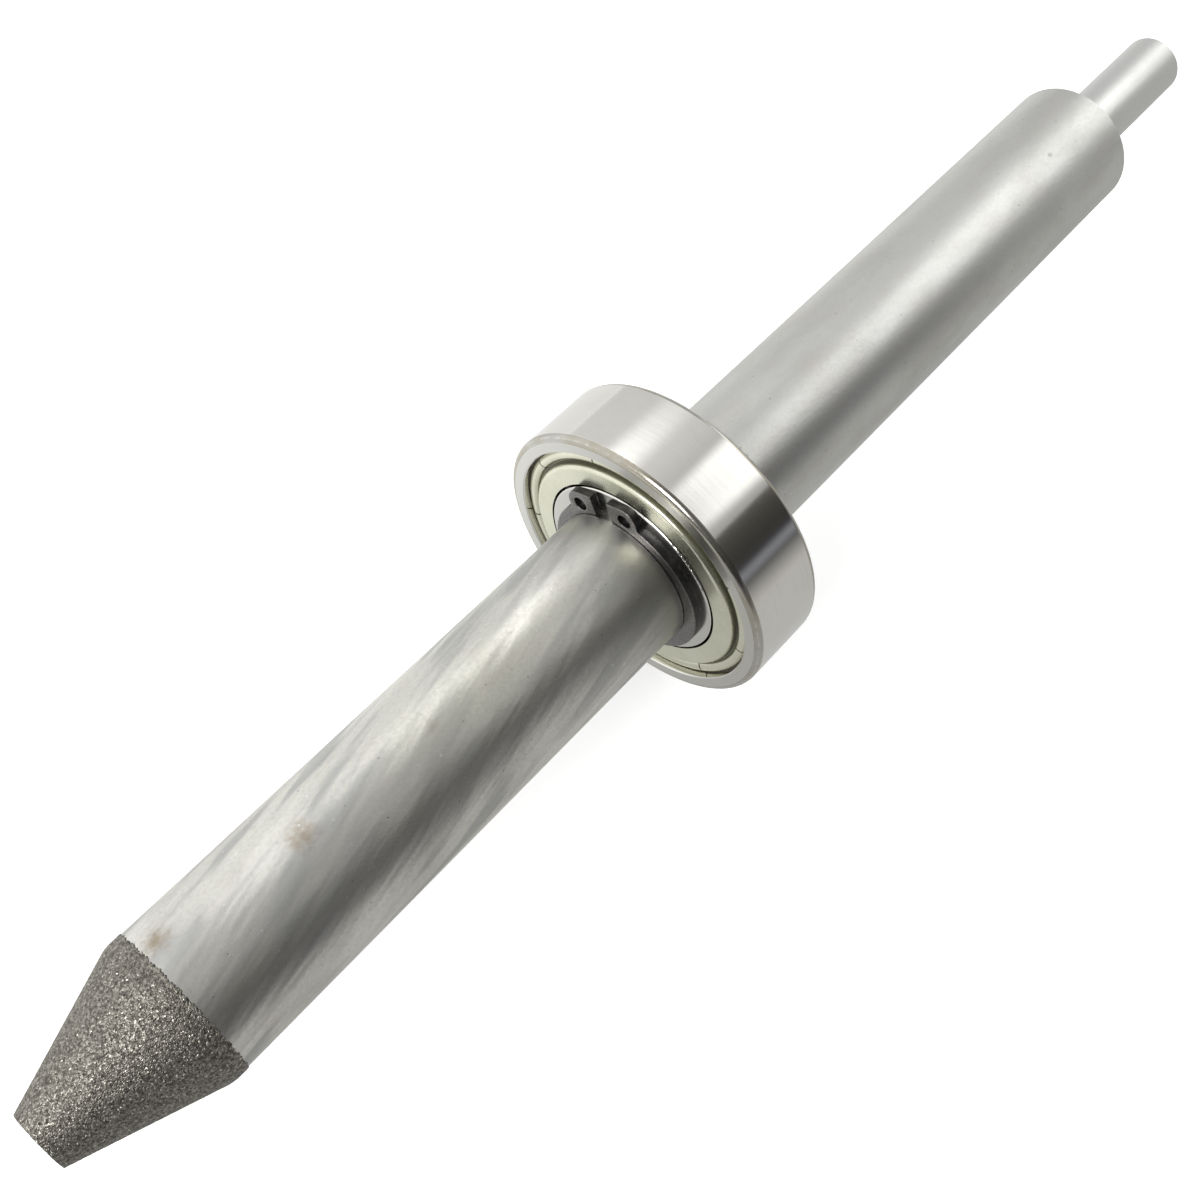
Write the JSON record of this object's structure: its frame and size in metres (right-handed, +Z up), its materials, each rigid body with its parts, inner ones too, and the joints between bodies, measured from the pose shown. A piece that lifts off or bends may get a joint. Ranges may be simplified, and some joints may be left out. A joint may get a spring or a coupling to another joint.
{
  "type": "live center spindle",
  "caption": "Straight ground live center spindle with a diamond gritted cone nose, a rear spigot and one shielded ball bearing held by circlips.",
  "frame": {"origin": "on the spindle axis at the middle of the ball bearing's width", "axes": "+X along the spindle towards the gritted nose, +Z up, +Y completing a right-handed frame"},
  "size_m": [0.2275, 0.042, 0.042],
  "materials": {
    "spindle_steel": "ground and hardened, satin, with faint heat mottling",
    "diamond_grit": "rough single layer of nickel-bonded diamond grit",
    "ring_steel": "fine ground, nearly polished",
    "shield_steel": "pressed sheet with a pale yellow passivated finish",
    "circlip_black": "black phosphated spring steel",
    "cage_steel": "pressed steel, plain",
    "ball_steel": "mirror polished"
  },
  "bodies": {
    "outer_ring": {"bearing_outer_ring": "ring_steel", "shield_front": "shield_steel", "shield_rear": "shield_steel"},
    "spindle": {"spindle": "spindle_steel", "grit_coat": "diamond_grit", "circlip_front": "circlip_black", "circlip_rear": "circlip_black", "bearing_inner_ring": "ring_steel"},
    "cage": {"cage_front": "cage_steel", "cage_rear": "cage_steel", "cage_rivets": "cage_steel"},
    "ball_1": {"ball_1": "ball_steel"},
    "ball_2": {"ball_2": "ball_steel"},
    "ball_3": {"ball_3": "ball_steel"},
    "ball_4": {"ball_4": "ball_steel"},
    "ball_5": {"ball_5": "ball_steel"},
    "ball_6": {"ball_6": "ball_steel"},
    "ball_7": {"ball_7": "ball_steel"},
    "ball_8": {"ball_8": "ball_steel"},
    "ball_9": {"ball_9": "ball_steel"}
  },
  "joints": [
    {"name": "spindle_spin", "type": "hinge", "parent": "outer_ring", "child": "spindle", "pos_m": [0, 0, 0], "axis": [1, 0, 0], "continuous": true},
    {"name": "cage_orbit", "type": "hinge", "parent": "outer_ring", "child": "cage", "pos_m": [0, 0, 0], "axis": [1, 0, 0], "continuous": true},
    {"name": "ball_1_roll", "type": "hinge", "parent": "cage", "child": "ball_1", "pos_m": [0, 0, 0.0155], "axis": [1, 0, 0], "continuous": true},
    {"name": "ball_2_roll", "type": "hinge", "parent": "cage", "child": "ball_2", "pos_m": [0, -0.00996, 0.01187], "axis": [1, 0, 0], "continuous": true},
    {"name": "ball_3_roll", "type": "hinge", "parent": "cage", "child": "ball_3", "pos_m": [0, -0.01526, 0.00269], "axis": [1, 0, 0], "continuous": true},
    {"name": "ball_4_roll", "type": "hinge", "parent": "cage", "child": "ball_4", "pos_m": [0, -0.01342, -0.00775], "axis": [1, 0, 0], "continuous": true},
    {"name": "ball_5_roll", "type": "hinge", "parent": "cage", "child": "ball_5", "pos_m": [0, -0.0053, -0.01457], "axis": [1, 0, 0], "continuous": true},
    {"name": "ball_6_roll", "type": "hinge", "parent": "cage", "child": "ball_6", "pos_m": [0, 0.0053, -0.01457], "axis": [1, 0, 0], "continuous": true},
    {"name": "ball_7_roll", "type": "hinge", "parent": "cage", "child": "ball_7", "pos_m": [0, 0.01342, -0.00775], "axis": [1, 0, 0], "continuous": true},
    {"name": "ball_8_roll", "type": "hinge", "parent": "cage", "child": "ball_8", "pos_m": [0, 0.01526, 0.00269], "axis": [1, 0, 0], "continuous": true},
    {"name": "ball_9_roll", "type": "hinge", "parent": "cage", "child": "ball_9", "pos_m": [0, 0.00996, 0.01187], "axis": [1, 0, 0], "continuous": true}
  ],
  "couplings": [
    {"joint": "cage_orbit", "follows": "spindle_spin", "ratio": 0.39758},
    {"joint": "ball_1_roll", "follows": "spindle_spin", "ratio": -2.3385},
    {"joint": "ball_2_roll", "follows": "spindle_spin", "ratio": -2.3385},
    {"joint": "ball_3_roll", "follows": "spindle_spin", "ratio": -2.3385},
    {"joint": "ball_4_roll", "follows": "spindle_spin", "ratio": -2.3385},
    {"joint": "ball_5_roll", "follows": "spindle_spin", "ratio": -2.3385},
    {"joint": "ball_6_roll", "follows": "spindle_spin", "ratio": -2.3385},
    {"joint": "ball_7_roll", "follows": "spindle_spin", "ratio": -2.3385},
    {"joint": "ball_8_roll", "follows": "spindle_spin", "ratio": -2.3385},
    {"joint": "ball_9_roll", "follows": "spindle_spin", "ratio": -2.3385}
  ]
}
